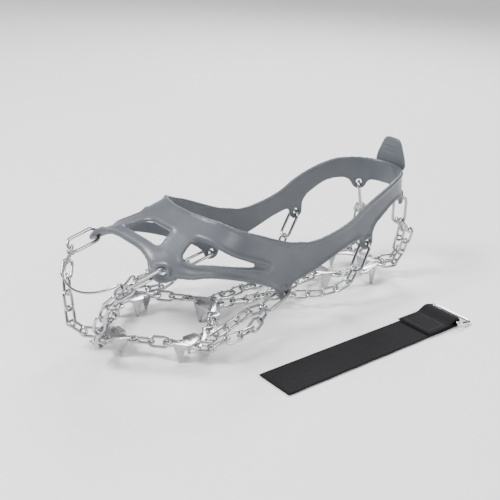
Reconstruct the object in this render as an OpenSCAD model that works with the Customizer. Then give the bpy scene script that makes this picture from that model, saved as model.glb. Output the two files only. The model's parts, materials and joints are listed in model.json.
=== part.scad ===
// Ice cleat for a hiking boot, in its worn shape and without the boot: a moulded rubber
// harness, six stamped spike plates under the sole, and the chains between them.
// Origin: on the ground under the middle of the foot. Toe towards -Y, wearer's left +X.

/* [Spike plates] */
// Thickness of the plate steel
plate_t = 1.8; // [1.5:0.1:2]
// Length of a spike below its plate
spike_len = 13; // [11:0.5:14]
// Width of a spike at its root
spike_w = 10; // [9:0.5:11]
// Diameter of the chain holes in the plates
plate_hole_d = 4.8; // [4.6:0.1:5.2]
// Distance from the middle of the ring of plates to a plate's arm holes
ring_r = 35; // [34.6:0.1:35.4]
// Distance between the two arm holes of a forefoot plate
arm_gap = 34; // [33.6:0.1:34.4]
// Distance between the two arm holes of the front heel plate
heel_arm_gap = 30; // [29:0.5:31]

/* [Chain] */
// Wire diameter of a chain link
link_wire = 2.2; // [2:0.1:2.3]
// Outer length of a chain link
link_len = 16.6; // [16.2:0.1:17]
// Outer width of a chain link
link_w = 9.2; // [9:0.1:9.6]
// Wire diameter of the long links in the harness lugs
lug_wire = 2.6; // [2.4:0.1:2.8]
// Outer length of a lug link
lug_link_len = 28; // [27:0.5:29]
// Outer width of a lug link
lug_link_w = 13; // [12.5:0.1:13.5]
// Diameter of the toe wire
toe_wire_d = 1.8; // [1.6:0.1:2]

/* [Harness] */
// Thickness of the rubber straps
rubber_t = 3.6; // [3:0.1:4]
// Radius of a harness lug around its hole
lug_r = 7.2; // [6.8:0.1:7.6]
// Diameter of the hole in a harness lug
lug_hole_d = 5.4; // [5:0.1:6]
// Height of the heel pull tab
tab_h = 21; // [16:1:26]
// Thickness of the heel pull tab
tab_t = 3; // [2.4:0.1:3.4]

/* [Instep strap] */
// Width of the hook-and-loop strap
strap_w = 32; // [25:1:36]
// Length of the strap without its ring
strap_len = 176; // [150:2:190]
// Thickness of one layer of the strap
strap_t = 2.2; // [1.6:0.1:2.6]
// Wire diameter of the strap's ring
ring_wire = 3; // [2.6:0.1:3.2]
// Distance between the two long bars of the ring
ring_reach = 14; // [12:0.5:18]

/* [Hidden] */

STEEL = [0.78, 0.79, 0.81];
RUBBER = [0.44, 0.46, 0.50];
WEBBING = [0.06, 0.06, 0.07];

// Levels: spike tips on the ground, plates against the sole
plate_top = spike_len + plate_t;
plate_mid = spike_len + plate_t / 2;
sole_z = 12.4;                        // middle of a chain that lies under the sole
ring_y = -82;                         // middle of the ring of forefoot plates
ear_reach = 14;                       // arm holes to ear holes
ear_gap = 9;                          // between the two ear holes
heel_front_y = 84;                    // arm holes of the front heel plate
heel_rear_y = 111;                    // middle of the rear heel plate's bow
bow_r = 27;                           // outer radius of that bow
bow_arm_x = 22;                       // its arm holes, sideways from the middle
bow_ear_r = 30.5;                     // its ear holes, from the middle
bow_ear_angles = [24, 42];            // and their angles from straight back
eye_r = 4.6;                          // steel around a plate hole
link_reach = link_len - link_wire;    // between the end wires of a link
lug_reach = lug_link_len - lug_wire;
lug_bend_r = (lug_link_w - lug_wire) / 2;
pair_gap = 1.6;                       // two chains in one lug link, sideways from its middle

// ---- vectors ----
function unit(v) = v / norm(v);
function flat_to(v, axis) = unit(v - (v * axis) * axis);
function mix(a, b, t) = a + (b - a) * t;
function sided(p, side) = [side * p[0], p[1], p[2]];
function basis(x, y, at) = [
    [x[0], y[0], cross(x, y)[0], at[0]],
    [x[1], y[1], cross(x, y)[1], at[1]],
    [x[2], y[2], cross(x, y)[2], at[2]],
    [0, 0, 0, 1]
];

// ---- the boot that the harness is stretched over, as an implicit surface ----
boot_half_len = 153;
boot_welt = 18;                       // height where its sides begin to draw in
function ease(t) = t <= 0 ? 0 : t >= 1 ? 1 : t * t * (3 - 2 * t);
function boot_half_w(y) = 42.5 + 12 * ease((30 - y) / 110);
function boot_height(y) = lookup(y, [[-150, 52], [-135, 58], [-120, 62], [-100, 64], [-80, 69],
                                     [-60, 78], [-40, 90], [-20, 104], [0, 120], [30, 150]]);
function boot_power(y) = lookup(y, [[-110, 4.5], [-40, 3]]);
function boot_level(p) =
    pow(pow(p[0] / boot_half_w(p[1]), 2) + pow(p[1] / boot_half_len, 6), boot_power(p[1]) / 2)
    + pow(max(0, p[2] - boot_welt) / boot_height(p[1]), boot_power(p[1])) - 1;
function boot_slope(p, h = 0.5) = [
    (boot_level(p + [h, 0, 0]) - boot_level(p - [h, 0, 0])) / (2 * h),
    (boot_level(p + [0, h, 0]) - boot_level(p - [0, h, 0])) / (2 * h),
    (boot_level(p + [0, 0, h]) - boot_level(p - [0, 0, h])) / (2 * h)
];
function boot_normal(p) = unit(boot_slope(p));
function onto_boot(p, steps = 5) =
    steps == 0 ? p
    : let (g = boot_slope(p)) onto_boot(p - g * boot_level(p) / (g * g), steps - 1);
function on_harness(p) = let (q = onto_boot(p)) q + boot_normal(q) * rubber_t / 2;

// ---- harness straps: each point is [x, y, z, half width] on the wearer's left ----
VAMP_BAND = [[-2, -73, 91, 11.5], [18, -72, 91, 11], [34, -64, 88, 10.5], [43, -52, 82, 10.5],
             [47, -38, 77, 10.5], [46, -22, 70, 10.5], [45, -6, 62, 12], [44, 8, 54, 14]];
REAR_BAND = [[46, -8, 53, 12], [44, 8, 54, 14.5], [43, 22, 54, 13.5], [43, 38, 57, 11.5],
             [42, 56, 62, 10], [42, 72, 67, 10.5], [41, 86, 74, 11.5], [40, 100, 81, 10.5],
             [38, 112, 86, 9.5], [34, 126, 89, 10], [24, 142, 89, 10.5], [10, 150, 89, 10.5],
             [-2, 152, 89, 10.5]];
SIDE_STRAP = [[42, -104, 75, 7], [47, -92, 71, 6], [50, -78, 69, 5.2], [51, -60, 64, 5.2],
              [50, -40, 57, 5.8], [48, -24, 51, 7], [46, -8, 47, 11]];
TOE_LEG = [[20, -72, 90, 9], [26, -86, 86, 10], [33, -97, 82, 9], [41, -108, 77, 8]];
CROSS_BAR = [[-2, -106, 81, 6], [16, -106, 81, 6], [30, -108, 80, 6.5], [41, -109, 77, 7]];

// Holes of the four lugs, the place on the band where each one is rooted, and its hang
TOE_LUG = [44, -111, 76];
FOREFOOT_LUG = [48, -3, 33];
MIDFOOT_LUG = [43, 86, 53];
HEEL_LUG = [25, 144, 76];
LUG_ROOTS = [[38, -104, 79], [46, -4, 48], [42, 84, 66], [27, 139, 86]];
LUG_HANGS = [[-9, -30, -17], [8, -16, -5], [-3, -11, -22], [-15, -8, -34]];
LUG_ROOT_R = [9, 12, 10, 8.5];
LUGS = [TOE_LUG, FOREFOOT_LUG, MIDFOOT_LUG, HEEL_LUG];

function lug_normal(i) = boot_normal(onto_boot(LUGS[i]));
function lug_hole(i) = on_harness(LUGS[i]);
function lug_hang(i) = flat_to(LUG_HANGS[i], lug_normal(i));
// How far the end wire of a chain stays inside a lug link's bend, so that the wires clear
function lug_bite(offset) =
    lug_bend_r - sqrt(pow(lug_bend_r - (lug_wire + link_wire) / 2 - 0.4, 2) - offset * offset);
function lug_bottom(i, offset = 0) =
    lug_hole(i) + lug_hang(i) * (lug_reach - lug_bite(offset)) + lug_normal(i) * offset;
function lug_crosswise(i) = cross(lug_hang(i), lug_normal(i));

function spline_point(a, b, c, d, t) =
    0.5 * (2 * b + (c - a) * t + (2 * a - 5 * b + 4 * c - d) * t * t
           + (3 * b - a - 3 * c + d) * t * t * t);
function spline(points, steps) = let (last = len(points) - 1) [
    for (i = [0:last - 1], k = [0:steps - 1])
        spline_point(points[max(0, i - 1)], points[i], points[i + 1], points[min(last, i + 2)],
                     k / steps),
    points[last]
];
function first3(p) = [p[0], p[1], p[2]];

// A strap with an eight-sided section, laid on the boot along a list of points
module rubber_strap(points, side) {
    path = spline(points, 3);
    last = len(path) - 1;
    mids = [for (p = path) on_harness(first3(p))];
    t = rubber_t / 2;
    ring = [for (i = [0:last])
        let (ahead = unit(mids[min(last, i + 1)] - mids[max(0, i - 1)]),
             up = flat_to(boot_normal(mids[i]), ahead),
             out = cross(ahead, up),
             w = path[i][3])
        for (q = [[w, 0.6], [w - 1.2, t], [1.2 - w, t], [-w, 0.6],
                  [-w, -0.6], [1.2 - w, -t], [w - 1.2, -t], [w, -0.6]])
            mids[i] + out * q[0] + up * q[1]];
    faces = concat(
        [[for (k = [7:-1:0]) k]],
        [for (i = [0:last - 1], k = [0:7])
            [8 * i + k, 8 * i + (k + 1) % 8, 8 * (i + 1) + (k + 1) % 8, 8 * (i + 1) + k]],
        [[for (k = [0:7]) 8 * last + k]]);
    mirror([side < 0 ? 1 : 0, 0, 0]) polyhedron(points = ring, faces = faces);
}

module lug(i) {
    root = on_harness(LUG_ROOTS[i]);
    root_up = boot_normal(onto_boot(LUG_ROOTS[i]));
    difference() {
        hull() {
            disc(lug_hole(i), lug_normal(i), lug_r, rubber_t);
            disc(root, root_up, LUG_ROOT_R[i], rubber_t - 0.4);
        }
        disc(lug_hole(i), lug_normal(i), lug_hole_d / 2, 3 * rubber_t);
    }
}

module disc(at, axis, r, t) {
    side = flat_to([0.3, 1, 0.2], axis);
    multmatrix(basis(side, cross(axis, side), at))
        cylinder(r = r, h = t, center = true, $fn = 32);
}

module harness() {
    color(RUBBER) for (side = [1, -1]) {
        for (strap = [VAMP_BAND, REAR_BAND, SIDE_STRAP, TOE_LEG, CROSS_BAR]) rubber_strap(strap, side);
        for (i = [0:3]) mirror([side < 0 ? 1 : 0, 0, 0]) lug(i);
    }
}

// ---- heel pull tab: a tongue that tapers upwards from the top edge of the heel band ----
tab_y = 153.4;
tab_z = 100;
tab_root_w = 33;
tab_tip_w = 17;
module heel_pull_tab() {
    color(RUBBER) translate([0, tab_y + tab_t / 2, tab_z]) rotate([90, 0, 0])
        linear_extrude(tab_t) polygon([
            [-tab_root_w / 2, 0], [tab_root_w / 2, 0], [tab_root_w / 2 - 1, 5],
            [tab_tip_w / 2 + 1, tab_h - 3], [tab_tip_w / 2 - 1.5, tab_h],
            [1.5 - tab_tip_w / 2, tab_h], [-tab_tip_w / 2 - 1, tab_h - 3], [1 - tab_root_w / 2, 5]
        ]);
}

// ---- steel links ----
module oval_link(length, width, wire) {
    bend_r = (width - wire) / 2;
    straight = length - width;
    union() {
        for (end = [1, -1])
            translate([end * straight / 2, 0, 0]) rotate([0, 0, -90 * end])
                rotate_extrude(angle = 180, $fn = 32) translate([bend_r, 0]) circle(d = wire, $fn = 16);
        for (side = [1, -1])
            translate([-straight / 2, side * bend_r, 0]) rotate([0, 90, 0])
                cylinder(d = wire, h = straight, $fn = 16);
    }
}

// A link is placed by its middle, the way it points and the way its width lies
module placed_link(at, ahead, wide, length = link_len, width = link_w, wire = link_wire) {
    across = flat_to(wide, ahead);
    color(STEEL) multmatrix(basis(ahead, across, at)) oval_link(length, width, wire);
}

function route_len(route, i = 0) =
    i >= len(route) - 1 ? 0 : norm(route[i + 1] - route[i]) + route_len(route, i + 1);
function along(route, s, i = 0) =
    let (piece = norm(route[i + 1] - route[i]))
    i >= len(route) - 2 || s <= piece
        ? mix(route[i], route[i + 1], s / piece)
        : along(route, s - piece, i + 1);

// A run is [route, number of links, width of the first link, width of the last link]
function run_pitch(run) = (route_len(run[0]) - link_reach) / (run[1] - 1);
function link_end(run, i, far) = along(run[0], i * run_pitch(run) + far * link_reach);
function link_mid(run, i) = (link_end(run, i, 0) + link_end(run, i, 1)) / 2;
function link_ahead(run, i) = unit(link_end(run, i, 1) - link_end(run, i, 0));
function carried(run, i) =
    i == 0 ? flat_to(run[2], link_ahead(run, 0)) : flat_to(carried(run, i - 1), link_ahead(run, i));
// Each link is turned on from the one before, by the angle nearest to a right angle that
// brings the last link round to its own hole
function roll_step(run) =
    let (last = run[1] - 1, ahead = link_ahead(run, last), u = carried(run, last),
         v = cross(ahead, u), end = flat_to(run[3], ahead), turn = atan2(end * v, end * u),
         half_turns = round((90 * last - turn) / 180))
    (turn + 180 * half_turns) / last;
function link_wide(run, i) =
    let (u = carried(run, i), v = cross(link_ahead(run, i), u), a = i * roll_step(run))
    u * cos(a) + v * sin(a);
module run_link(run, i, side) {
    placed_link(sided(link_mid(run, i), side), sided(link_ahead(run, i), side),
                sided(link_wide(run, i), side));
}
module chain_run(run, side) {
    for (i = [0:run[1] - 1]) run_link(run, i, side);
}
module lug_link(i, side) {
    mid = lug_hole(i) + lug_hang(i) * (lug_reach / 2);
    placed_link(sided(mid, side), sided(lug_hang(i), side), sided(lug_normal(i), side),
                lug_link_len, lug_link_w, lug_wire);
}

// ---- chain routes on the wearer's left, between plate holes and lug links ----
UP = [0, 0, 1];
LEAN = 35;                            // roll of the paired links in a short gap
front_ear = [ear_gap / 2, ring_y - ring_r - ear_reach, plate_mid];
rear_ear = [ear_gap / 2, ring_y + ring_r + ear_reach, plate_mid];
heel_ear = [ear_gap / 2 - 0.5, heel_front_y - ear_reach, plate_mid];
function side_ear(along_foot) = [ring_r + ear_reach, ring_y + along_foot * ear_gap / 2, plate_mid];
function bow_ear(k) = [bow_ear_r * sin(bow_ear_angles[k]),
                       heel_rear_y + bow_ear_r * cos(bow_ear_angles[k]), plate_mid];
function leaning(ahead, angle) = let (u = flat_to(UP, ahead)) u * cos(angle) + cross(ahead, u) * sin(angle);

TOE_RUN = [concat([lug_bottom(0)], [[32, -142, 58], [26, -146, 49], [21, -146.5, 31], [15, -148, 16]],
                  [front_ear]), 7, lug_crosswise(0), UP];
SIDE_INNER_RUN = [[lug_bottom(1, -pair_gap), [43.5, -29, 26.5], [42.5, -53.5, 15.5], side_ear(1)],
                  5, lug_crosswise(1), UP];
SIDE_OUTER_RUN = [[lug_bottom(1, pair_gap), [61, -46, 19], [62, -66, 20], [58.5, -76.5, 13.5],
                   side_ear(-1)], 6, lug_crosswise(1), UP];
SOLE_RUN = [[rear_ear, [9, -8, sole_z], [10, 10, sole_z], [9, 30, sole_z], heel_ear], 9, UP, UP];
branch_link = 3;                      // link of the sole chain that the waist chain hooks into
branch_at = link_mid(SOLE_RUN, branch_link) + [link_w / 2 - 1.5 * link_wire - 0.3, 0, 0];
WAIST_RUN = [[lug_bottom(2), [43, 69, 20], [36, 56, 13], [26, 36, sole_z], branch_at], 7, lug_crosswise(2), UP];
HEEL_INNER_RUN = [[lug_bottom(3, -pair_gap), [23, 154, 47], [21, 150, 17], bow_ear(0)],
                  5, lug_crosswise(3), UP];
HEEL_OUTER_RUN = [[lug_bottom(3, pair_gap), [31.5, 153.5, 47.5], [28, 146, 15.5], bow_ear(1)],
                  5, lug_crosswise(3), UP];
FRONT_GAP = [[arm_gap / 2, ring_y - ring_r, plate_mid], [ring_r, ring_y - arm_gap / 2, plate_mid]];
REAR_GAP = [[arm_gap / 2, ring_y + ring_r, plate_mid], [ring_r, ring_y + arm_gap / 2, plate_mid]];
HEEL_GAP = [[heel_arm_gap / 2, heel_front_y, plate_mid], [bow_arm_x, heel_rear_y - 3, plate_mid]];
function gap_run(gap) = let (ahead = unit(gap[1] - gap[0]))
    [gap, 2, leaning(ahead, LEAN), leaning(ahead, -LEAN)];

// The two links of a short gap lean one each way
module gap_chain(gap, side) {
    run = gap_run(gap);
    for (i = [0, 1])
        placed_link(sided(link_mid(run, i), side), sided(link_ahead(run, i), side), sided(run[2 + i], side));
}

// ---- toe wire: a bow in front of the toe with an eye around each first chain link ----
toe_eye_r = 2.4;
toe_bow_front = [0, -155, 57];
module toe_wire() {
    eye = link_mid(TOE_RUN, 0) - link_wide(TOE_RUN, 0) * ((link_w - link_wire) / 2)
          * sign(link_wide(TOE_RUN, 0) * [1, 0, 0]);
    ahead = link_ahead(TOE_RUN, 0);
    end = eye + flat_to(toe_bow_front - eye, ahead) * toe_eye_r;
    sag = toe_bow_front - [0, end[1], end[2]];
    bow = (end[0] * end[0] + sag * sag) / (2 * norm(sag));
    reach = asin(end[0] / bow);
    down = unit(sag);
    color(STEEL) union() {
        for (side = [1, -1])
            multmatrix(basis(sided(flat_to([0, 1, 0], ahead), side),
                             cross(sided(ahead, side), sided(flat_to([0, 1, 0], ahead), side)),
                             sided(eye, side)))
                rotate_extrude($fn = 64) translate([toe_eye_r, 0]) circle(d = toe_wire_d, $fn = 48);
        multmatrix(basis([1, 0, 0], down, toe_bow_front - down * bow))
            rotate([0, 0, 90 - reach]) rotate_extrude(angle = 2 * reach, $fn = 160)
                translate([bow, 0]) circle(d = toe_wire_d, $fn = 48);
    }
}

// ---- stamped plates: local +X points outwards from the ring, the sole is above ----
module eye_disc(x, y, r = eye_r) {
    translate([x, y, 0]) cylinder(r = r, h = plate_t, $fn = 40);
}
module hole(x, y) {
    translate([x, y, -1]) cylinder(d = plate_hole_d, h = plate_t + 2, $fn = 32);
}
// A spike is a triangular tooth folded down from the plate's edge
module spike(x, y, facing) {
    translate([x, y, 0]) rotate([0, 0, facing]) translate([0, 0, plate_t]) rotate([90, 0, 90])
        linear_extrude(plate_t) polygon([
            [-spike_w / 2, 0], [-spike_w / 2 + 0.6, -plate_t - 1], [-0.6, -plate_t - spike_len],
            [0.6, -plate_t - spike_len], [spike_w / 2 - 0.6, -plate_t - 1], [spike_w / 2, 0]
        ]);
}
module spike_plate(gap, reach = ear_reach, ears = ear_gap) {
    a = gap / 2;
    e = ears / 2;
    color(STEEL) difference() {
        union() {
            linear_extrude(plate_t) polygon([
                [-1.2, -spike_w / 2], [2.4, -spike_w / 2 - 1.6], [1.6, 6 - a], [-3.4, 3 - a],
                [2.6, -a - 3.6], [3.6, 0.6 - a], [11.6, 7.4 - a], [reach - 1, -e - 3.6],
                [reach + 1, 0],
                [reach - 1, e + 3.6], [11.6, a - 7.4], [3.6, a - 0.6], [2.6, a + 3.6],
                [-3.4, a - 3], [1.6, a - 6], [2.4, spike_w / 2 + 1.6], [-1.2, spike_w / 2]
            ]);
            for (side = [-1, 1]) {
                eye_disc(0, side * a);
                eye_disc(reach, side * e);
                mirror([0, side < 0 ? 1 : 0, 0]) spike(6.6, a - 5.2, 50);
            }
            rotate([0, 0, 180]) spike(1.2 - plate_t, 0, 0);
        }
        for (side = [-1, 1]) {
            hole(0, side * a);
            hole(reach, side * e);
        }
    }
}
module set_plate(x, y, turn) {
    translate([x, y, spike_len]) rotate([0, 0, turn]) children();
}
// The rear heel plate is a bow with two pairs of ears and four spikes
module bow_plate() {
    inner_r = bow_r - 9.5;
    color(STEEL) difference() {
        union() {
            difference() {
                cylinder(r = bow_r, h = plate_t, $fn = 96);
                translate([0, 0, -1]) cylinder(r = inner_r, h = plate_t + 2, $fn = 96);
                translate([-2 * bow_r, -4 * bow_r, -1]) cube([4 * bow_r, 4 * bow_r, plate_t + 2]);
            }
            for (side = [-1, 1]) {
                translate([side * (inner_r + bow_r) / 2 - 4.75, -3, 0]) cube([9.5, 4, plate_t]);
                eye_disc(side * bow_arm_x, -3, 4.75);
                for (a = bow_ear_angles) eye_disc(side * bow_ear_r * sin(a), bow_ear_r * cos(a), 4.2);
                rotate([0, 0, 90 - side * 74]) spike(bow_r - plate_t - 0.2, 0, 0);
            }
            rotate([0, 0, 90]) spike(bow_r - plate_t + 1.4, 0, 0);
            rotate([0, 0, -90]) spike(-inner_r - plate_t - 0.2, 0, 0);
        }
        for (side = [-1, 1]) {
            hole(side * bow_arm_x, -3);
            for (a = bow_ear_angles) hole(side * bow_ear_r * sin(a), bow_ear_r * cos(a));
        }
    }
}

// ---- loose instep strap, lying flat beside the cleat ----
strap_x = 104;
strap_y = -60;                        // free end, towards the toe
fold_y = strap_y + strap_len;         // middle of the fold that holds the ring
fold_r = ring_wire / 2 + 0.4;
bar_z = fold_r + strap_t;
stitched_len = 34;
module strap_band() {
    color(WEBBING) translate([strap_x - strap_w / 2, 0, 0]) multmatrix(basis([0, 1, 0], UP, [0, 0, 0]))
        linear_extrude(strap_w) difference() {
            union() {
                polygon([
                    [strap_y, 0], [fold_y, 0], [fold_y, 2 * bar_z], [fold_y - 4, 2 * bar_z - 0.6],
                    [fold_y - 12, 2 * strap_t], [fold_y - stitched_len, 2 * strap_t],
                    [fold_y - stitched_len, strap_t], [strap_y, strap_t]
                ]);
                translate([fold_y, bar_z]) circle(r = bar_z, $fn = 48);
            }
            translate([fold_y, bar_z]) circle(r = fold_r, $fn = 32);
        }
}
ring_half_w = strap_w / 2 + 1.2 + ring_wire / 2;
ring_tilt = asin((bar_z - ring_wire / 2) / ring_reach);
corner_r = ring_wire + 0.2;
module strap_ring() {
    straight_x = ring_half_w - corner_r;
    color(STEEL) translate([strap_x, fold_y, bar_z]) rotate([-ring_tilt, 0, 0]) union() {
        for (y = [0, ring_reach]) translate([-straight_x, y, 0]) rotate([0, 90, 0])
            cylinder(d = ring_wire, h = 2 * straight_x, $fn = 24);
        for (side = [-1, 1]) {
            translate([side * ring_half_w, corner_r, 0]) rotate([-90, 0, 0])
                cylinder(d = ring_wire, h = ring_reach - 2 * corner_r, $fn = 24);
            for (y = [corner_r, ring_reach - corner_r])
                translate([side * straight_x, y, 0])
                    rotate([0, 0, y < ring_reach / 2 ? (side > 0 ? -90 : 180) : (side > 0 ? 0 : 90)])
                        rotate_extrude(angle = 90, $fn = 48) translate([corner_r, 0])
                            circle(d = ring_wire, $fn = 24);
        }
    }
}

harness();
heel_pull_tab();
set_plate(0, ring_y - ring_r, -90) spike_plate(arm_gap);  // spike_plate_front
set_plate(ring_r, ring_y, 0) spike_plate(arm_gap);  // spike_plate_left
set_plate(-ring_r, ring_y, 180) spike_plate(arm_gap);  // spike_plate_right
set_plate(0, ring_y + ring_r, 90) spike_plate(arm_gap);  // spike_plate_rear
set_plate(0, heel_front_y, -90) spike_plate(heel_arm_gap, ear_reach, ear_gap - 1);  // heel_plate_front
set_plate(0, heel_rear_y, 0) bow_plate();  // heel_plate_rear
toe_wire();
lug_link(0, 1);  // toe_lug_link_left
lug_link(0, -1);  // toe_lug_link_right
lug_link(1, 1);  // forefoot_lug_link_left
lug_link(1, -1);  // forefoot_lug_link_right
lug_link(2, 1);  // midfoot_lug_link_left
lug_link(2, -1);  // midfoot_lug_link_right
lug_link(3, 1);  // heel_lug_link_left
lug_link(3, -1);  // heel_lug_link_right
run_link(TOE_RUN, 0, 1);  // toe_chain_link_1_left
run_link(TOE_RUN, 1, 1);  // toe_chain_link_2_left
run_link(TOE_RUN, 2, 1);  // toe_chain_link_3_left
run_link(TOE_RUN, 3, 1);  // toe_chain_link_4_left
run_link(TOE_RUN, 4, 1);  // toe_chain_link_5_left
run_link(TOE_RUN, 5, 1);  // toe_chain_link_6_left
run_link(TOE_RUN, 6, 1);  // toe_chain_link_7_left
run_link(TOE_RUN, 0, -1);  // toe_chain_link_1_right
run_link(TOE_RUN, 1, -1);  // toe_chain_link_2_right
run_link(TOE_RUN, 2, -1);  // toe_chain_link_3_right
run_link(TOE_RUN, 3, -1);  // toe_chain_link_4_right
run_link(TOE_RUN, 4, -1);  // toe_chain_link_5_right
run_link(TOE_RUN, 5, -1);  // toe_chain_link_6_right
run_link(TOE_RUN, 6, -1);  // toe_chain_link_7_right
gap_chain(FRONT_GAP, 1);  // ring_chain_front_left
gap_chain(FRONT_GAP, -1);  // ring_chain_front_right
gap_chain(REAR_GAP, 1);  // ring_chain_rear_left
gap_chain(REAR_GAP, -1);  // ring_chain_rear_right
chain_run(SIDE_INNER_RUN, 1);  // side_chain_inner_left
chain_run(SIDE_INNER_RUN, -1);  // side_chain_inner_right
chain_run(SIDE_OUTER_RUN, 1);  // side_chain_outer_left
chain_run(SIDE_OUTER_RUN, -1);  // side_chain_outer_right
chain_run(SOLE_RUN, 1);  // sole_chain_left
chain_run(SOLE_RUN, -1);  // sole_chain_right
chain_run(WAIST_RUN, 1);  // waist_chain_left
chain_run(WAIST_RUN, -1);  // waist_chain_right
gap_chain(HEEL_GAP, 1);  // heel_ring_chain_left
gap_chain(HEEL_GAP, -1);  // heel_ring_chain_right
chain_run(HEEL_INNER_RUN, 1);  // heel_chain_inner_left
chain_run(HEEL_INNER_RUN, -1);  // heel_chain_inner_right
chain_run(HEEL_OUTER_RUN, 1);  // heel_chain_outer_left
chain_run(HEEL_OUTER_RUN, -1);  // heel_chain_outer_right
strap_band();
strap_ring();
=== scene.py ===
# %% [markdown]
# # Slip-on ice cleat
#
# A stretched rubber harness holds six spiked steel plates under a boot, on chains of oval links.
# The boot itself is left out, so the harness keeps the shape that the boot gives it. A loose
# hook-and-loop strap lies on the floor beside it.
#
# Everything is in metres, in the frame of the CAD model: the heel is towards +Y, the wearer's
# left is +X, and the spike tips stand on z = 0. Shapes that are worked out here are in
# millimetres until they become a mesh.

# %% Load the CAD model
import json
import math
import bpy
import bmesh
import numpy as np
from mathutils import Matrix, Vector


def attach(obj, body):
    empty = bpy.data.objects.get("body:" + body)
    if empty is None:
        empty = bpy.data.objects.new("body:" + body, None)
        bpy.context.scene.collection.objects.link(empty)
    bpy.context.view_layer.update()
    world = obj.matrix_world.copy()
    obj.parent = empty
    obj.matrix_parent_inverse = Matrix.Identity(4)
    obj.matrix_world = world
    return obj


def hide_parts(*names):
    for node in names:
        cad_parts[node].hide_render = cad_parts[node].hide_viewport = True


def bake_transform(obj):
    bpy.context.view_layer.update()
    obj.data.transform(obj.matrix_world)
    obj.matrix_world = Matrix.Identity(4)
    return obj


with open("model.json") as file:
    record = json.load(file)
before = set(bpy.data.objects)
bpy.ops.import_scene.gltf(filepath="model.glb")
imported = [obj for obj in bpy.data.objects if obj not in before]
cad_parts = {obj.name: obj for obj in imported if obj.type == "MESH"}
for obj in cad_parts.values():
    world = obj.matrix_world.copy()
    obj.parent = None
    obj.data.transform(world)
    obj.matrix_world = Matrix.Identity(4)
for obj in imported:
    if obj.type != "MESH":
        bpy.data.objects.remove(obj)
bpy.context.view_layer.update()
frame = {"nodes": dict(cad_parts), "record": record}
MM = 0.001
ALL_NODES = sorted(frame["nodes"])

# %% [markdown]
# ## Camera
# It stands a little above the cleat, in front of the toe and on the wearer's left, and looks at
# the middle of the harness. A camera can be turned with Euler angles, but three axes built from
# an azimuth, an elevation and a roll are easier to check, so that is the way here.

# %% The camera
CAMERA_AZIMUTH = math.radians(50.2)
CAMERA_ELEVATION = math.radians(22.5)
CAMERA_ROLL = math.radians(2.75)
CAMERA_DISTANCE = 0.6545
CAMERA_TARGET = Vector((0.0, 0.0, 0.05))
CAMERA_LENS = 59.9
CAMERA_SENSOR = 36.0
CAMERA_NEAREST = 0.01


def make_camera():
    """A camera whose back, right and up axes follow from the three angles."""
    a, e, r = CAMERA_AZIMUTH, CAMERA_ELEVATION, CAMERA_ROLL
    back = Vector((math.sin(a) * math.cos(e), -math.cos(a) * math.cos(e), math.sin(e)))
    level_right = Vector((math.cos(a), math.sin(a), 0.0))
    level_up = back.cross(level_right)
    right = math.cos(r) * level_right + math.sin(r) * level_up
    up = back.cross(right)
    data = bpy.data.cameras.new("camera")
    data.lens = CAMERA_LENS
    data.sensor_width = CAMERA_SENSOR
    data.clip_start = CAMERA_NEAREST
    camera = bpy.data.objects.new("camera", data)
    camera.matrix_world = Matrix.Translation(CAMERA_TARGET + back * CAMERA_DISTANCE) @ Matrix(
        (right, up, back)).transposed().to_4x4()
    bpy.context.scene.collection.objects.link(camera)
    bpy.context.scene.camera = camera
    return camera


camera = make_camera()
print("camera at", tuple(round(v, 3) for v in camera.location))

# %% [markdown]
# ## Helpers for the finishes
# Each finish is one principled shader. What varies over the surface, such as grain or faint
# wear, comes from noise over the object's own coordinates, so that it needs no UV map and stays
# with the piece when it moves. What doesn't vary is set straight on the shader's sockets.

# %% Helpers for node materials
def new_material(name, colour, roughness, metallic=0.0):
    """A material with one principled shader, whose constant values sit on its own sockets."""
    material = bpy.data.materials.new(name)
    material.use_nodes = True
    nodes = material.node_tree.nodes
    shader = next(n for n in nodes if n.type == "BSDF_PRINCIPLED")
    shader.inputs["Base Color"].default_value = (*colour, 1.0)
    shader.inputs["Roughness"].default_value = roughness
    shader.inputs["Metallic"].default_value = metallic
    return material, material.node_tree, shader


def add_noise(tree, scale, detail=2.0, stretch=(1.0, 1.0, 1.0)):
    """Noise over the object's own coordinates; returns the socket of its value."""
    place = tree.nodes.new("ShaderNodeTexCoord")
    mapping = tree.nodes.new("ShaderNodeMapping")
    mapping.inputs["Scale"].default_value = stretch
    noise = tree.nodes.new("ShaderNodeTexNoise")
    noise.inputs["Scale"].default_value = scale
    noise.inputs["Detail"].default_value = detail
    tree.links.new(place.outputs["Object"], mapping.inputs["Vector"])
    tree.links.new(mapping.outputs["Vector"], noise.inputs["Vector"])
    return noise.outputs["Fac"]


def add_bump(tree, shader, value, distance, strength):
    """Let a value raise the surface a little, by a distance in metres."""
    bump = tree.nodes.new("ShaderNodeBump")
    bump.inputs["Distance"].default_value = distance
    bump.inputs["Strength"].default_value = strength
    tree.links.new(value, bump.inputs["Height"])
    tree.links.new(bump.outputs["Normal"], shader.inputs["Normal"])


def add_ramp(tree, value, socket, low, high, low_at=0.3, high_at=0.7):
    """Spread a value between two colours into a shader socket."""
    ramp = tree.nodes.new("ShaderNodeValToRGB")
    ramp.color_ramp.elements[0].position = low_at
    ramp.color_ramp.elements[1].position = high_at
    ramp.color_ramp.elements[0].color = (*low, 1.0)
    ramp.color_ramp.elements[1].color = (*high, 1.0)
    tree.links.new(value, ramp.inputs["Fac"])
    tree.links.new(ramp.outputs["Color"], socket)


def vary_colour(tree, shader, value, low, high):
    add_ramp(tree, value, shader.inputs["Base Color"], low, high)


def vary_roughness(tree, shader, value, low, high):
    add_ramp(tree, value, shader.inputs["Roughness"], (low,) * 3, (high,) * 3)


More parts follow.
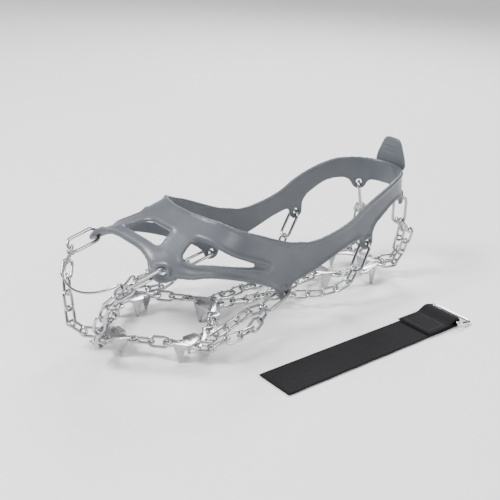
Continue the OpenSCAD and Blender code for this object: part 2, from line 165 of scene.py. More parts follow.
# %% [markdown]
# ## Rubber
# Moulded rubber has a satin skin: a fine grain from the mould, cloudy patches a little paler or
# darker, and uneven gloss where hands have touched it. A clear coat would look like paint, so
# the sheen is only a trace and the roughness does the work.

# %% The rubber of the harness
def make_rubber():
    material, tree, shader = new_material("harness_rubber", (0.081, 0.09, 0.103), 0.38)
    clouds = add_noise(tree, scale=38.0, detail=4.0)
    vary_colour(tree, shader, clouds, (0.072, 0.080, 0.093), (0.090, 0.099, 0.113))
    handling = add_noise(tree, scale=90.0, detail=3.0)
    vary_roughness(tree, shader, handling, 0.32, 0.44)
    grain = add_noise(tree, scale=2600.0, detail=2.0)
    add_bump(tree, shader, grain, distance=0.00006, strength=0.35)
    shader.inputs["Sheen Weight"].default_value = 0.03
    shader.inputs["Sheen Roughness"].default_value = 0.5
    return material


RUBBER = make_rubber()
print("rubber has", len(RUBBER.node_tree.nodes), "nodes")

# %% [markdown]
# ## Steel
# The plates are stamped from rolled sheet, so their noise is stretched into faint rolling marks.
# The wire of the links is drawn and tumbled: smoother and brighter, with small dents. The ring
# of the strap is chrome plated, which is the same shader with less roughness.

# %% The stamped plates, the link wire and the chrome ring
def make_plate_steel():
    material, tree, shader = new_material("stamped_steel", (0.42, 0.42, 0.43), 0.26, 1.0)
    streaks = add_noise(tree, scale=70.0, detail=3.0, stretch=(1.0, 5.0, 5.0))
    vary_roughness(tree, shader, streaks, 0.22, 0.30)
    stains = add_noise(tree, scale=60.0, detail=3.0)
    vary_colour(tree, shader, stains, (0.39, 0.395, 0.405), (0.45, 0.45, 0.46))
    add_bump(tree, shader, streaks, distance=0.00002, strength=0.06)
    return material


def make_link_steel():
    material, tree, shader = new_material("link_wire_steel", (0.44, 0.445, 0.45), 0.18, 1.0)
    dents = add_noise(tree, scale=300.0, detail=4.0)
    vary_roughness(tree, shader, dents, 0.12, 0.24)
    add_bump(tree, shader, dents, distance=0.00004, strength=0.12)
    return material


def make_chrome():
    material, tree, shader = new_material("ring_chrome", (0.80, 0.80, 0.81), 0.08, 1.0)
    vary_roughness(tree, shader, add_noise(tree, scale=200.0, detail=3.0), 0.06, 0.13)
    return material


PLATE_STEEL = make_plate_steel()
LINK_STEEL = make_link_steel()
CHROME = make_chrome()
print("metals", PLATE_STEEL.name, LINK_STEEL.name, CHROME.name)

# %% [markdown]
# ## Webbing and thread
# The strap's upper face is a black loop pile. Drawing each loop would take millions of faces, so
# the pile is fine noise in colour and bump, with very little shine. The thread is smoother.

# %% The strap's webbing and its thread
def make_webbing():
    material, tree, shader = new_material("webbing_black", (0.006, 0.006, 0.007), 0.95)
    pile = add_noise(tree, scale=1500.0, detail=3.0)
    vary_colour(tree, shader, pile, (0.003, 0.003, 0.0035), (0.012, 0.012, 0.0135))
    add_bump(tree, shader, pile, distance=0.0004, strength=0.6)
    shader.inputs["Specular IOR Level"].default_value = 0.15
    shader.inputs["Sheen Weight"].default_value = 0.04
    shader.inputs["Sheen Roughness"].default_value = 0.6
    return material


def make_thread():
    material, tree, shader = new_material("thread_black", (0.015, 0.015, 0.017), 0.6)
    twist = add_noise(tree, scale=4000.0, detail=2.0)
    add_bump(tree, shader, twist, distance=0.0001, strength=0.5)
    return material


WEBBING = make_webbing()
THREAD = make_thread()
print("fabrics", WEBBING.name, THREAD.name)

# %% [markdown]
# ## The boot's shape
# The harness lies on a boot that isn't drawn. A boot could be a lofted mesh with the harness
# shrink-wrapped on to it. A formula is shorter and has no seams: the boot's surface is where
# `boot_level` is zero. The sole's outline is a squared oval, wider at the ball of the foot, and
# the height falls from the ankle to the toe.

# %% The boot as a function of space, in millimetres
BOOT_HALF_LENGTH = 153.0
BOOT_HEEL_HALF_WIDTH = 42.5
BOOT_BALL_EXTRA = 12.0
BOOT_WIDENS_FROM_Y = 30.0
BOOT_WIDENS_OVER = 110.0
BOOT_WELT = 18.0
BOOT_TOP_Y = (-150, -135, -120, -100, -80, -60, -40, -20, 0, 30)
BOOT_TOP_Z = (52, 58, 62, 64, 69, 78, 90, 104, 120, 150)
# How square a cross section is: squarer over the toes, rounder towards the ankle
SQUARENESS_Y = (-110, -40)
SQUARENESS = (4.5, 3.0)
OUTLINE_SQUARENESS = 6
SLOPE_STEP = 0.5
ROUNDS_ON_TO_BOOT = 8


def ease(t):
    """Turn 0 to 1 into a soft start and a soft stop."""
    return t * t * (3.0 - 2.0 * t)


def boot_level(p):
    """Close to (distance from the boot) / (its size): negative inside, positive outside."""
    x, y, z = p[..., 0], p[..., 1], p[..., 2]
    t = np.clip((BOOT_WIDENS_FROM_Y - y) / BOOT_WIDENS_OVER, 0.0, 1.0)
    half_width = BOOT_HEEL_HALF_WIDTH + BOOT_BALL_EXTRA * ease(t)
    height = np.interp(y, BOOT_TOP_Y, BOOT_TOP_Z)
    power = np.interp(y, SQUARENESS_Y, SQUARENESS)
    outline = (x / half_width) ** 2 + (y / BOOT_HALF_LENGTH) ** OUTLINE_SQUARENESS
    rise = np.maximum(0.0, z - BOOT_WELT) / height
    return (outline ** (power / 2) + rise ** power) ** (1.0 / power) - 1.0


def boot_distance(p):
    """Distance from the boot in millimetres, and the direction away from it."""
    slope = np.stack([
        boot_level(p + offset) - boot_level(p - offset)
        for offset in np.eye(3) * SLOPE_STEP], axis=-1) / (2 * SLOPE_STEP)
    size = np.linalg.norm(slope, axis=-1)
    return boot_level(p) / size, slope / size[..., None]


def on_boot(p, height):
    """Points moved on to the boot in a few steps, then out from it by a height."""
    q = np.array(p, float)
    for _ in range(ROUNDS_ON_TO_BOOT):
        distance, out = boot_distance(q)
        q = q - distance[..., None] * out
    distance, out = boot_distance(q)
    return q + out * height


toe_top = on_boot([[0.0, -100.0, 80.0]], 0.0)[0]
print("the boot's top at the toe is", np.round(toe_top, 1), "mm")

# %% [markdown]
# ## The harness
# The real harness is one moulding of elastic rubber. It could be cut from a grid of patches, but
# its straps melt into each other with soft fillets, which is hard to keep smooth with faces.
# Here it is a field of distances instead: straps are thick lines on the boot, a soft minimum
# joins them, and a surface is drawn where the distance is zero.
#
# Five straps on each side run over the boot, each a list of points with a half width. Four lugs
# on each side taper down to a round boss with the hole for a link.

# %% Routes of the straps: x, y, z and half width in millimetres
RUBBER_THICKNESS = 3.6
STRAPS = {
    "vamp_band": [(-2, -73, 91, 11.5), (18, -72, 91, 11), (34, -64, 88, 10.5), (43, -52, 82, 10.5),
                  (47, -38, 77, 10.5), (46, -22, 70, 10.5), (45, -6, 62, 12), (44, 8, 54, 14)],
    "rear_band": [(46, -8, 53, 12), (44, 8, 54, 14.5), (43, 22, 54, 13.5), (43, 38, 57, 11.5),
                  (42, 56, 62, 10), (42, 72, 67, 10.5), (41, 86, 74, 11.5), (40, 100, 81, 10.5),
                  (38, 112, 86, 9.5), (34, 126, 89, 10), (24, 142, 89, 10.5), (10, 150, 89, 10.5),
                  (-2, 152, 89, 10.5)],
    "side_strap": [(42, -104, 75, 7), (47, -92, 71, 6), (50, -78, 69, 5.2), (51, -60, 64, 5.2),
                   (50, -40, 57, 5.8), (48, -24, 51, 7), (46, -8, 47, 11)],
    "toe_leg": [(20, -72, 90, 9), (26, -86, 86, 10), (33, -97, 82, 9), (41, -108, 77, 8)],
    "cross_bar": [(-2, -106, 81, 6), (16, -106, 81, 6), (30, -108, 80, 6.5), (41, -109, 77, 7)],
}
LUG_HOLES = [(44, -111, 76), (48, -3, 33), (43, 86, 53), (25, 144, 76)]
LUG_ROOTS = [(38, -104, 79, 9), (46, -4, 48, 12), (42, 84, 66, 10), (27, 139, 86, 8.5)]
LUG_RADIUS = 7.2
LUG_HOLE_RADIUS = 2.7
LUG_WAIST = 0.8
STRAP_FILLET = 7.0
LUG_FILLET = 6.0
SPLINE_STEPS = 4
print("straps", len(STRAPS), "on each side, lugs", len(LUG_HOLES))

# %% Curves and soft joins
FAR = 1e9


def spline(points, steps):
    """A smooth curve through the points, with a few steps between each two."""
    p = np.array(points, float)
    last = len(p) - 1
    curve = []
    for i in range(last):
        a, b, c, d = p[max(0, i - 1)], p[i], p[i + 1], p[min(last, i + 2)]
        for k in range(steps):
            t = k / steps
            curve.append(0.5 * (2 * b + (c - a) * t + (2 * a - 5 * b + 4 * c - d) * t * t
                                + (3 * b - a - 3 * c + d) * t ** 3))
    curve.append(p[last])
    return np.array(curve)


def edge_distance(p, path, widths):
    """Distance from points to the edge of a strap, negative within it."""
    nearest = np.full(len(p), FAR)
    for i in range(len(path) - 1):
        step = path[i + 1] - path[i]
        t = np.clip((p - path[i]) @ step / (step @ step), 0.0, 1.0)
        away = np.linalg.norm(p - path[i] - t[:, None] * step, axis=1)
        nearest = np.minimum(nearest, away - (widths[i] + (widths[i + 1] - widths[i]) * t))
    return nearest


def soft_min(a, b, k):
    """The smaller of two distances, with a fillet about k wide where they are equal."""
    h = np.maximum(0.0, k - np.abs(a - b)) / k
    return np.minimum(a, b) - h * h * k / 4


def soft_max(a, b, k):
    return -soft_min(-a, -b, k)


def rise_between(value, low, high):
    """0 up to low, 1 from high on, and an eased climb between them."""
    return ease(np.clip((value - low) / (high - low), 0.0, 1.0))


print("a soft minimum of 1 and 1 is", soft_min(np.array(1.0), np.array(1.0), STRAP_FILLET))

# %% [markdown]
# The straps give the outline, as a distance to the nearest edge. The skin is then two faces, one
# just off the boot and one a rubber's thickness out. Near every edge the outer face rises in a
# low rim, and round every hole in a higher ring, as moulded harnesses have so that they don't
# tear. Soft maximums round the corners where faces meet.

# %% The harness as a field of distances
RIM_HEIGHT = 1.3
RIM_INSET = 2.0
RIM_WIDTH = 1.25
BOSS_HEIGHT = 1.7
BOSS_FOOT_RADIUS = 6.6
BOSS_TOP_RADIUS = 5.2
BOOT_GAP = 0.1
SKIN_ROUNDING = 0.8
SIDE_ROUNDING = 1.8
HOLE_ROUNDING = 0.9
HALF_SKIN = RUBBER_THICKNESS / 2


def strap_outline(middle):
    """Distance to the edge of the nearest strap, for points on the skin's middle."""
    edge = None
    for route in STRAPS.values():
        curve = spline(route, SPLINE_STEPS)
        path = on_boot(curve[:, :3], HALF_SKIN)
        strap = edge_distance(middle, path, curve[:, 3])
        edge = strap if edge is None else soft_min(edge, strap, STRAP_FILLET)
    return edge


def add_lugs(middle, edge):
    """The outline with the lugs added, and the distance to the nearest lug's hole."""
    holes = on_boot(np.array(LUG_HOLES, float), HALF_SKIN)
    roots = on_boot(np.array(LUG_ROOTS, float)[:, :3], HALF_SKIN)
    from_hole = np.full(len(middle), FAR)
    for hole, root, place in zip(holes, roots, LUG_ROOTS):
        neck = (hole + root) / 2
        bend = on_boot(neck[None], HALF_SKIN)[0]
        path = np.array([hole, bend, root])
        waist = (LUG_RADIUS + place[3]) / 2 - LUG_WAIST
        lug = edge_distance(middle, path, (LUG_RADIUS, waist, place[3]))
        edge = soft_min(edge, lug, LUG_FILLET)
        from_hole = np.minimum(from_hole, np.linalg.norm(middle - hole, axis=1))
    return edge, from_hole


def harness_field(p):
    """Signed distance, in millimetres, from the harness: p holds points near the boot."""
    folded = p.copy()
    folded[:, 0] = np.abs(folded[:, 0])
    height, out = boot_distance(folded)
    middle = folded - (height - HALF_SKIN)[:, None] * out
    edge, from_hole = add_lugs(middle, strap_outline(middle))
    rim = RIM_HEIGHT * np.exp(-((edge + RIM_INSET) / RIM_WIDTH) ** 2)
    ring = BOSS_HEIGHT * rise_between(-from_hole, -BOSS_FOOT_RADIUS, -BOSS_TOP_RADIUS)
    outside = height - (RUBBER_THICKNESS - RIM_HEIGHT + np.maximum(rim, ring))
    inside = BOOT_GAP - height
    shell = soft_max(outside, inside, SKIN_ROUNDING)
    solid = soft_max(shell, edge, SIDE_ROUNDING)
    return soft_max(solid, LUG_HOLE_RADIUS - from_hole, HOLE_ROUNDING)


print("rim", RIM_HEIGHT, "mm high, ring round each hole", BOSS_HEIGHT, "mm")

# %% [markdown]
# A surface net turns a field of signed distances into a mesh: one vertex in each cell that the
# surface crosses, at the mean of the crossings on its edges, and one quad for each crossed edge.
# Metaballs or a remesh could do it too, but a net gives even quads and the same result each run.

# %% Surface net
def surface_net(field, low, spacing):
    """Vertices and quads of the zero surface of a field on a regular grid."""
    shape = np.array(field.shape)
    strides = np.array([shape[1] * shape[2], shape[2], 1])
    total = np.zeros((field.size, 3))
    count = np.zeros(field.size)
    quads = []
    for axis in range(3):
        ahead = np.moveaxis(field, axis, 0)
        first, second = ahead[:-1], ahead[1:]
        crossed = np.argwhere((first < 0) != (second < 0))
        values = first[tuple(crossed.T)], second[tuple(crossed.T)]
        others = [a for a in range(3) if a != axis]
        cell = np.zeros((len(crossed), 3), int)
        cell[:, axis] = crossed[:, 0]
        cell[:, others[0]] = crossed[:, 1]
        cell[:, others[1]] = crossed[:, 2]
        point = cell.astype(float)
        point[:, axis] += values[0] / (values[0] - values[1])
        around = []
        for du, dv in ((0, 0), (1, 0), (1, 1), (0, 1)):
            shift = np.zeros(3, int)
            shift[others[0]], shift[others[1]] = du, dv
            index = (cell - shift) @ strides
            np.add.at(total, index, point)
            np.add.at(count, index, 1)
            around.append(index)
        quad = np.stack(around, axis=1)
        flip = (values[0] < 0) == (axis == 1)
        quad[flip] = quad[flip][:, ::-1]
        quads.append(quad)
    used = np.flatnonzero(count)
    vertices = low + spacing * total[used] / count[used][:, None]
    number = np.zeros(field.size, int)
    number[used] = np.arange(len(used))
    return vertices, number[np.concatenate(quads)]


def grid_points(low, high, spacing):
    """The points of a regular grid, as an array of x by y by z by 3."""
    axes = [np.arange(a, b, spacing) for a, b in zip(low, high)]
    return np.stack(np.meshgrid(*axes, indexing="ij"), axis=-1)


print("a grid 2 mm wide has", grid_points((0, 0, 0), (2, 2, 2), 1.0).shape, "points")

# %% Pieces from vertices and faces
def new_piece(name, vertices, faces, material):
    """A smooth mesh object in metres from vertices in millimetres."""
    mesh = bpy.data.meshes.new(name)
    mesh.from_pydata((np.asarray(vertices) * MM).tolist(), [], [tuple(map(int, f)) for f in faces])
    mesh.validate()
    mesh.update()
    mesh.materials.append(material)
    mesh.polygons.foreach_set("use_smooth", [True] * len(mesh.polygons))
    piece = bpy.data.objects.new(name, mesh)
    bpy.context.scene.collection.objects.link(piece)
    return piece


def edit_mesh(piece, change):
    """Give the piece's mesh to a change, as a bmesh, and write the result back."""
    work = bmesh.new()
    work.from_mesh(piece.data)
    change(work)
    work.to_mesh(piece.data)
    work.free()


def face_outward(work):
    """Make the faces of a closed mesh look outwards."""
    bmesh.ops.recalc_face_normals(work, faces=work.faces)


def relax(work):
    """Even out the small steps of a surface net."""
    bmesh.ops.smooth_vert(work, verts=work.verts, factor=0.5,
                          use_axis_x=True, use_axis_y=True, use_axis_z=True)


print("pieces are made at a scale of", MM)

# %% The harness piece
HARNESS_SPACING = 1.15
HARNESS_LOW = np.array([-60.0, -122.0, 20.0])
HARNESS_HIGH = np.array([60.0, 162.0, 106.0])
# The field is worked out only this near the skin's middle, and is a plain value elsewhere
FIELD_REACH = 4.5
FIELD_ELSEWHERE = 3.0


def make_harness():
    grid = grid_points(HARNESS_LOW, HARNESS_HIGH, HARNESS_SPACING)
    points = grid.reshape(-1, 3)
    distance, _ = boot_distance(points)
    near = np.flatnonzero(np.abs(distance - HALF_SKIN) < FIELD_REACH)
    field = np.full(len(points), FIELD_ELSEWHERE)
    field[near] = harness_field(points[near])
    vertices, quads = surface_net(field.reshape(grid.shape[:3]), HARNESS_LOW, HARNESS_SPACING)
    piece = new_piece("harness_rubber_moulding", vertices, quads, RUBBER)
    edit_mesh(piece, face_outward)
    edit_mesh(piece, relax)
    edit_mesh(piece, relax)
    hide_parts("harness")
    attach(piece, "harness")
    return piece


harness = make_harness()
print("harness faces", len(harness.data.polygons))

# %% [markdown]
# ## Heel pull tab
# A tongue stands on the heel band, for pulling the harness over the boot. It could be a box with
# a bevel, but its raised rim and three grip ridges follow its outline, so it is a field of
# distances as well.

# %% The pull tab
TAB_Z = (92, 100, 105, 118, 122)
TAB_HALF_WIDTHS = (17.0, 16.5, 15.2, 9.5, 8.2)
TAB_SIDE_SLOPE = 0.92
TAB_TOP = 121.0
TAB_FOOT = 94.0
TAB_CORNER = 5.0
TAB_MIDDLE_Y = 154.9
TAB_HALF_THICKNESS = 1.25
TAB_RIM_HEIGHT = 0.35
TAB_RIM_INSET = 1.8
TAB_RIM_WIDTH = 0.9
TAB_END_ROUNDING = 0.5
TAB_SIDE_ROUNDING = 1.2
RIDGE_LEVELS = (106, 110, 114)
RIDGE_HEIGHT = 0.45
RIDGE_WIDTH = 0.9
# How far inside the outline a ridge starts, and where it has its full height
RIDGE_INSET = (2.6, 3.6)
TAB_SPACING = 0.7
TAB_LOW = np.array([-20.0, 150.0, 91.0])
TAB_HIGH = np.array([20.0, 159.0, 124.0])


def tab_field(p):
    """Signed distance in millimetres: x across, z up, y through the tongue."""
    x, y, z = np.abs(p[:, 0]), p[:, 1], p[:, 2]
    sides = (x - np.interp(z, TAB_Z, TAB_HALF_WIDTHS)) * TAB_SIDE_SLOPE
    ends = soft_max(z - TAB_TOP, TAB_FOOT - z, TAB_END_ROUNDING)
    outline = soft_max(sides, ends, TAB_CORNER)
    rim = TAB_RIM_HEIGHT * np.exp(-((outline + TAB_RIM_INSET) / TAB_RIM_WIDTH) ** 2)
    ridges = RIDGE_HEIGHT * sum(np.exp(-((z - level) / RIDGE_WIDTH) ** 2)
                                for level in RIDGE_LEVELS)
    ridges = ridges * rise_between(-outline, *RIDGE_INSET)
    faces = np.abs(y - TAB_MIDDLE_Y) - (TAB_HALF_THICKNESS + np.maximum(rim, ridges))
    return soft_max(faces, outline, TAB_SIDE_ROUNDING)


def make_tab():
    grid = grid_points(TAB_LOW, TAB_HIGH, TAB_SPACING)
    field = tab_field(grid.reshape(-1, 3)).reshape(grid.shape[:3])
    vertices, quads = surface_net(field, TAB_LOW, TAB_SPACING)
    piece = new_piece("heel_tab_tongue", vertices, quads, RUBBER)
    edit_mesh(piece, face_outward)
    edit_mesh(piece, relax)
    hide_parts("heel_pull_tab")
    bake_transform(piece)
    return piece


tab = make_tab()
print("tab faces", len(tab.data.polygons))

# %% [markdown]
# ## Copies of CAD nodes
# The steel pieces already have the right shape, but a CAD mesh has doubled points and hard
# edges. A copy of each node is cleaned and shaded, and stands for the node. Which body a copy
# rides on is read from the record.

# %% Helpers for copies
BODY_OF = {node: body for body, nodes in frame["record"]["behaviour"]["bodies"].items()
           for node in nodes}


def copy_of_node(node, name, material):
    """A new object with a copy of a CAD node's mesh, in place."""
    source = frame["nodes"][node]
    mesh = source.data.copy()
    mesh.name = name
    mesh.transform(source.matrix_world)
    mesh.materials.clear()
    mesh.materials.append(material)
    piece = bpy.data.objects.new(name, mesh)
    bpy.context.scene.collection.objects.link(piece)
    return piece


def merge_doubles(work):
    """Join points that lie within a thousandth of a millimetre."""
    bmesh.ops.remove_doubles(work, verts=work.verts, dist=1e-6)


def join_flat_faces(work):
    """Merge, then turn each flat stretch of triangles into one face that a bevel can follow."""
    merge_doubles(work)
    bmesh.ops.dissolve_limit(work, angle_limit=math.radians(0.5),
                             verts=work.verts, edges=work.edges)


def stand_for(piece, node):
    """Let a piece take a node's place and motion."""
    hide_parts(node)
    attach(piece, BODY_OF[node])


print("nodes with a body", len(BODY_OF))

# %% [markdown]
# ## Spiked plates
# A press cuts each plate from sheet and folds its spikes down, which leaves every edge a little
# rounded. Subdivision would pull the points of the spikes in. A narrow bevel on the sharp edges
# alone keeps them, and gives each edge the thin highlight that real steel shows.

# %% The plates
PLATE_NODES = [n for n in ALL_NODES if "plate" in n]
EDGE_ROUNDING = 0.28
BEVELLED_ANGLE = math.radians(40)
SHARP_ANGLE = math.radians(50)


def round_edges(piece):
    """Bevel the sharp edges, and keep the result as the piece's mesh."""
    bevel = piece.modifiers.new("rounding", "BEVEL")
    bevel.width = EDGE_ROUNDING * MM
    bevel.segments = 2
    bevel.limit_method = "ANGLE"
    bevel.angle_limit = BEVELLED_ANGLE
    bevel.use_clamp_overlap = True
    graph = bpy.context.evaluated_depsgraph_get()
    result = bpy.data.meshes.new_from_object(piece.evaluated_get(graph))
    piece.modifiers.clear()
    piece.data = result


def make_plate(node):
    piece = copy_of_node(node, node + "_stamping", PLATE_STEEL)
    edit_mesh(piece, join_flat_faces)
    round_edges(piece)
    piece.data.shade_smooth()
    piece.data.set_sharp_from_angle(angle=SHARP_ANGLE)
    stand_for(piece, node)
    return piece


plates = [make_plate(node) for node in PLATE_NODES]
print("plates", len(plates), "faces", sum(len(p.data.polygons) for p in plates))

# %% [markdown]
# ## Links and toe wire
# Links are bent from round wire and welded, so they have no edges at all: smooth shading over
# the merged CAD mesh is enough. The bow of wire in front of the toe is made the same way.

# %% The links, chains and toe wire
WIRE_NODES = [n for n in ALL_NODES if "link" in n or "chain" in n or n == "toe_wire"]


def make_wire(node, name, material):
    piece = copy_of_node(node, name, material)
    edit_mesh(piece, merge_doubles)
    piece.data.shade_smooth()
    stand_for(piece, node)
    return piece


wires = [make_wire(node, node + "_wire", LINK_STEEL) for node in WIRE_NODES]
print("wire pieces", len(wires))

# %% [markdown]
# ## The loose strap
# A band of black webbing lies flat on the floor. Its heel end folds over the bar of a wire ring
# and is stitched down. Cloth simulation would leave a band on a floor as it is, so the band is
# swept: a path seen from the side, with a ring of points across it at each step.

# %% The strap's path
STRAP_X = 104.0
STRAP_HALF_WIDTH = 16.0
STRAP_THICKNESS = 2.2
STRAP_FREE_END = -60.0
STRAP_FOLD = 116.0
STRAP_BAR_Z = 4.1
STITCHED_LENGTH = 34.0
BAND_STEP = 0.8
FOLD_STEPS = 13
# Past the fold, the upper layer comes down to the lower one between these distances
FOLD_DROP = (1.0, 12.0)
LAYER_GAP = 0.1


def strap_path():
    """The middle of the band seen from its side: (y, z) from the free end round the fold."""
    t = STRAP_THICKNESS
    fold_radius = STRAP_BAR_Z - t / 2
    points = [(y, t / 2) for y in np.arange(STRAP_FREE_END, STRAP_FOLD, BAND_STEP)]
    for angle in np.linspace(-90, 90, FOLD_STEPS):
        a = math.radians(angle)
        points.append((STRAP_FOLD + fold_radius * math.cos(a),
                       STRAP_BAR_Z + fold_radius * math.sin(a)))
    high, low = STRAP_BAR_Z + fold_radius, 1.5 * t + LAYER_GAP
    for y in np.arange(STRAP_FOLD - 1.0, STRAP_FOLD - STITCHED_LENGTH, -BAND_STEP):
        drop = float(rise_between(STRAP_FOLD - y, *FOLD_DROP))
        points.append((y, high + (low - high) * drop))
    return np.array(points)


print("the strap's path has", len(strap_path()), "points")

# %% [markdown]
# The edges of the webbing are thin selvedges that wander a little, and its ends are cut thin.
# Between them the pile stands up and is uneven, which a seeded random draw gives.

# %% The band
BAND_COLUMNS = 41
PILE_SEED = 7
PILE_DEPTH = 0.12
PILE_LEVEL = 0.93
SELVEDGE = 1.6
EDGE_ROUND = 1.1
EDGE_THIN = 0.02
EDGE_WANDER = 0.12
WANDER_PER_MM = 0.21
# A cut end is this share of the full thickness, and reaches all of it after some millimetres
CUT_END = 0.45
CUT_END_LENGTH = 2.0
FLOOR_CLEARANCE = 0.02


def band_ring(place, normal, thin, draw):
    """The points round the band at one step of its path, top side first."""
    ring = []
    for side in (1, -1):
        for u in np.linspace(-1, 1, BAND_COLUMNS)[::side]:
            edge = (1 - abs(u)) * STRAP_HALF_WIDTH
            round_off = math.sqrt(min(1.0, edge / EDGE_ROUND + EDGE_THIN))
            pile = PILE_DEPTH * min(1.0, max(0.0, edge - SELVEDGE)) * draw.uniform(-1.0, 0.6)
            lift = side * STRAP_THICKNESS / 2 * thin * round_off * (PILE_LEVEL + pile)
            at_edge = 1 if abs(u) > 0.95 else 0
            wander = EDGE_WANDER * math.sin(place[0] * WANDER_PER_MM) * at_edge
            ring.append((STRAP_X + u * STRAP_HALF_WIDTH + wander,
                         place[0] + normal[0] * lift, place[1] + normal[1] * lift))
    return ring


def close_ends(work):
    bmesh.ops.holes_fill(work, edges=[e for e in work.edges if e.is_boundary], sides=0)


def make_band():
    path = strap_path()
    ahead = np.gradient(path, axis=0)
    ahead /= np.linalg.norm(ahead, axis=1)[:, None]
    up = np.stack([-ahead[:, 1], ahead[:, 0]], axis=1)
    draw = np.random.default_rng(PILE_SEED)
    rings = []
    for i, (place, normal) in enumerate(zip(path, up)):
        to_end = min(i, len(path) - 1 - i) * BAND_STEP
        thin = CUT_END + (1.0 - CUT_END) * min(1.0, to_end / CUT_END_LENGTH)
        rings.append(band_ring(place, normal, thin, draw))
    vertices = np.array(rings).reshape(-1, 3)
    vertices[:, 2] = np.maximum(vertices[:, 2], FLOOR_CLEARANCE)
    n = len(rings[0])
    faces = [(i * n + k, i * n + (k + 1) % n, (i + 1) * n + (k + 1) % n, (i + 1) * n + k)
             for i in range(len(rings) - 1) for k in range(n)]
    piece = new_piece("strap_webbing", vertices, faces, WEBBING)
    edit_mesh(piece, close_ends)
    edit_mesh(piece, face_outward)
    stand_for(piece, "strap_band")
    return piece


band = make_band()
print("strap faces", len(band.data.polygons))

# %% [markdown]
# A box of stitches holds the folded end. Each stitch is a real short thread with pointed ends,
# because a bump could not show from the side that the thread stands on the pile.

# %% The stitches
STITCH_LENGTH = 3.0
STITCH_RADIUS = 0.32
STITCH_LIFT = 0.15
STITCH_GAP = 0.12
STITCH_INSET = 3.0
STITCHED_TO = 14.0
THREAD_SIDES = 8
# Along a thread, 0 to 1, and the share of its full radius there
THREAD_RINGS = [(0.0, 0.35), (0.2, 1.0), (0.8, 1.0), (1.0, 0.35)]


def thread(start, end):
    """Vertices and faces of one stitch."""
    a, b = Vector(start), Vector(end)
    ahead = (b - a).normalized()
    side = ahead.orthogonal().normalized()
    other = ahead.cross(side)
    vertices, faces = [], []
    for along, share in THREAD_RINGS:
        for k in range(THREAD_SIDES):
            t = 2 * math.pi * k / THREAD_SIDES
            out = side * math.cos(t) + other * math.sin(t)
            vertices.append(a + (b - a) * along + out * STITCH_RADIUS * share)
    for r in range(len(THREAD_RINGS) - 1):
        first, second = r * THREAD_SIDES, (r + 1) * THREAD_SIDES
        for k in range(THREAD_SIDES):
            n = (k + 1) % THREAD_SIDES
            faces.append((first + k, first + n, second + n, second + k))
    faces.append(tuple(range(THREAD_SIDES))[::-1])
    faces.append(tuple(range(len(vertices) - THREAD_SIDES, len(vertices))))
    return vertices, faces


def make_stitches():
    """A sewn box on the folded end: two rows across and one along each side."""
    top = 2 * STRAP_THICKNESS + STITCH_LIFT
    near = STRAP_FOLD - STITCHED_LENGTH + STITCH_INSET
    far = STRAP_FOLD - STITCHED_TO
    side = STRAP_HALF_WIDTH - STITCH_INSET
    lines = [((-side, near), (side, near)), ((-side, far), (side, far)),
             ((-side, near), (-side, far)), ((side, near), (side, far))]
    vertices, faces = [], []
    for (x0, y0), (x1, y1) in lines:
        count = round(math.hypot(x1 - x0, y1 - y0) / STITCH_LENGTH)
        for k in range(count):
            t0, t1 = (k + STITCH_GAP) / count, (k + 1 - STITCH_GAP) / count
            start = (STRAP_X + x0 + (x1 - x0) * t0, y0 + (y1 - y0) * t0, top)
            end = (STRAP_X + x0 + (x1 - x0) * t1, y0 + (y1 - y0) * t1, top)
            more, more_faces = thread(start, end)
            faces += [tuple(v + len(vertices) for v in f) for f in more_faces]
            vertices += more
    piece = new_piece("strap_stitches", [tuple(v) for v in vertices], faces, THREAD)
    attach(piece, "strap")
    return piece


stitches = make_stitches()
print("stitch faces", len(stitches.data.polygons))

# %% The strap's wire ring
ring = make_wire("strap_ring", "strap_wire_ring", CHROME)
print("ring faces", len(ring.data.polygons))

# %% [markdown]
# ## Floor
# A plain pale floor, wide enough that its far edge lies at the horizon in low views.

# %% The floor
FLOOR_HALF_SIZE = 40.0


def make_floor_material():
    material, tree, shader = new_material("floor_pale", (0.90, 0.90, 0.90), 0.7)
    vary_roughness(tree, shader, add_noise(tree, scale=3.0, detail=2.0), 0.65, 0.75)
    return material


def make_floor():
    size = FLOOR_HALF_SIZE
    mesh = bpy.data.meshes.new("floor")
    mesh.from_pydata([(-size, -size, 0), (size, -size, 0), (size, size, 0), (-size, size, 0)], [],
                     [(0, 1, 2, 3)])
    mesh.materials.append(make_floor_material())
    floor = bpy.data.objects.new("floor", mesh)
    bpy.context.scene.collection.objects.link(floor)
    return floor


floor = make_floor()
print(floor.name, "is", 2 * FLOOR_HALF_SIZE, "m wide")

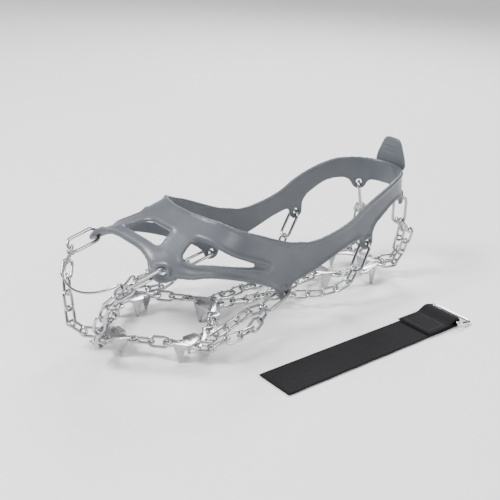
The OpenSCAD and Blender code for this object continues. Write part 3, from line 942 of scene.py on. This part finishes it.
# %% [markdown]
# ## Light
# Three soft lamps shape the rubber. Polished steel shows what is around it, and an even white
# sky would make it vanish, so the sky is bright overhead, pale at the horizon and dim between.

# %% Lamps and sky
# Name, place, size and power of each lamp
LAMPS = [("key_lamp", (-0.3, -1.0, 1.3), 0.5, 38.0),
         ("fill_lamp", (1.3, 0.4, 0.9), 0.6, 12.0),
         ("back_lamp", (-0.9, 1.0, 1.2), 0.6, 26.0)]
LAMP_TARGET = Vector((0.0, 0.0, 0.03))
SKY_STRENGTH = 1.1
# Height above the horizon, 0 to 1, and how bright the sky is there
SKY_LEVELS = [(0.0, 0.72), (0.17, 0.70), (0.26, 0.08), (0.48, 0.10), (0.78, 1.0)]
SKY_BLUENESS = 1.02


def make_lamp(name, place, size, power):
    data = bpy.data.lights.new(name, "AREA")
    data.shape = "SQUARE"
    data.size = size
    data.energy = power
    lamp = bpy.data.objects.new(name, data)
    lamp.location = place
    towards = LAMP_TARGET - Vector(place)
    lamp.rotation_euler = towards.to_track_quat("-Z", "Y").to_euler()
    bpy.context.scene.collection.objects.link(lamp)
    return lamp


def make_sky():
    world = bpy.data.worlds.new("sky")
    world.use_nodes = True
    tree = world.node_tree
    background = next(n for n in tree.nodes if n.type == "BACKGROUND")
    place = tree.nodes.new("ShaderNodeTexCoord")
    parts = tree.nodes.new("ShaderNodeSeparateXYZ")
    ramp = tree.nodes.new("ShaderNodeValToRGB")
    tree.links.new(place.outputs["Generated"], parts.inputs["Vector"])
    tree.links.new(parts.outputs["Z"], ramp.inputs["Fac"])
    tree.links.new(ramp.outputs["Color"], background.inputs["Color"])
    for position, _ in SKY_LEVELS[1:-1]:
        ramp.color_ramp.elements.new(position)
    for level, (position, grey) in zip(ramp.color_ramp.elements, SKY_LEVELS):
        level.position = position
        level.color = (grey, grey, grey * SKY_BLUENESS, 1.0)
    background.inputs["Strength"].default_value = SKY_STRENGTH
    bpy.context.scene.world = world


for lamp in LAMPS:
    make_lamp(*lamp)
make_sky()
print("lamps", len(bpy.data.lights))
